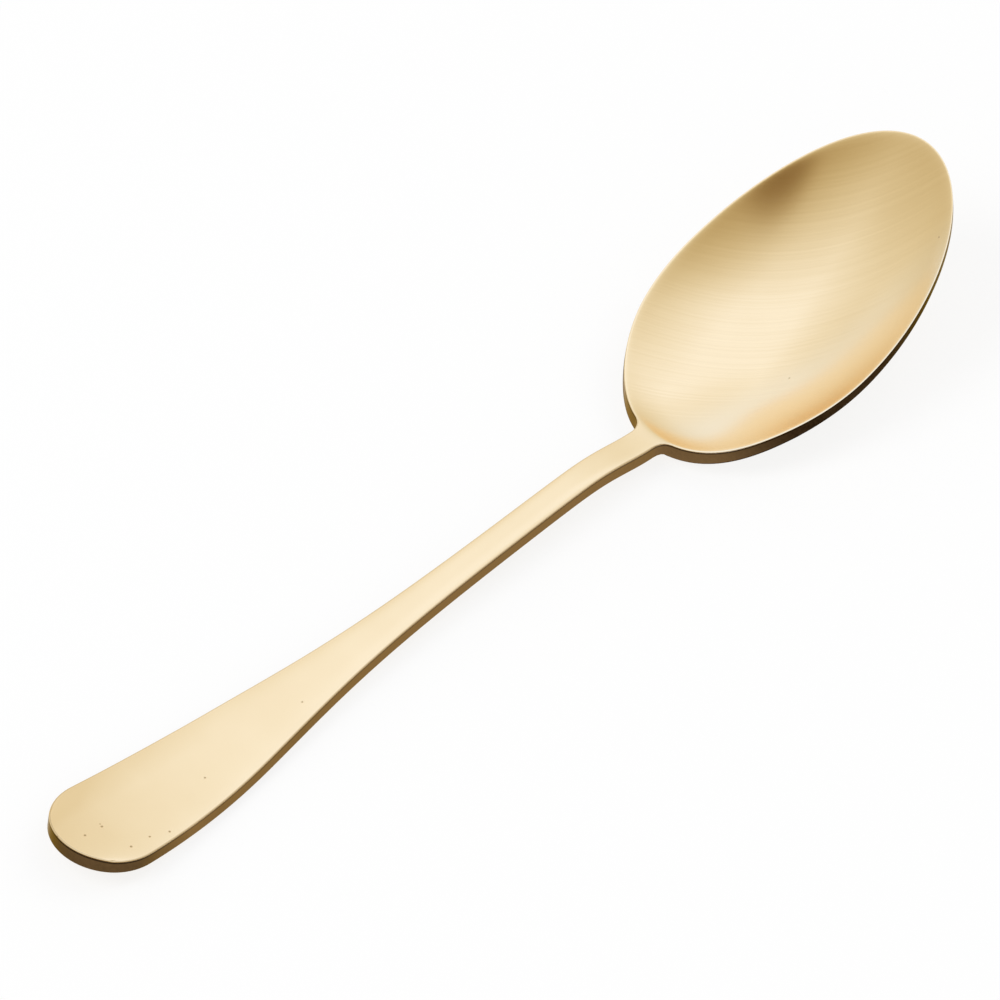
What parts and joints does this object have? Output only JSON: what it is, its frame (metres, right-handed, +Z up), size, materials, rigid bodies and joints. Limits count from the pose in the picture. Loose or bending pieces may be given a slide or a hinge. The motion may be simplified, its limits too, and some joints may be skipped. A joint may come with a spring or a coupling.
{
  "type": "tablespoon",
  "caption": "Gold-toned metal tablespoon with an oval satin bowl and a slim handle that widens to a rounded end.",
  "frame": {"origin": "on the table that the spoon lies on, under the middle of its box", "axes": "+X along the spoon from the end of the handle to the tip of the bowl, +Y across it, +Z up from the table"},
  "size_m": [0.2068, 0.0482, 0.0282],
  "materials": {
    "gold_metal": "satin"
  },
  "bodies": {
    "root": {"tablespoon": "gold_metal"}
  },
  "joints": []
}
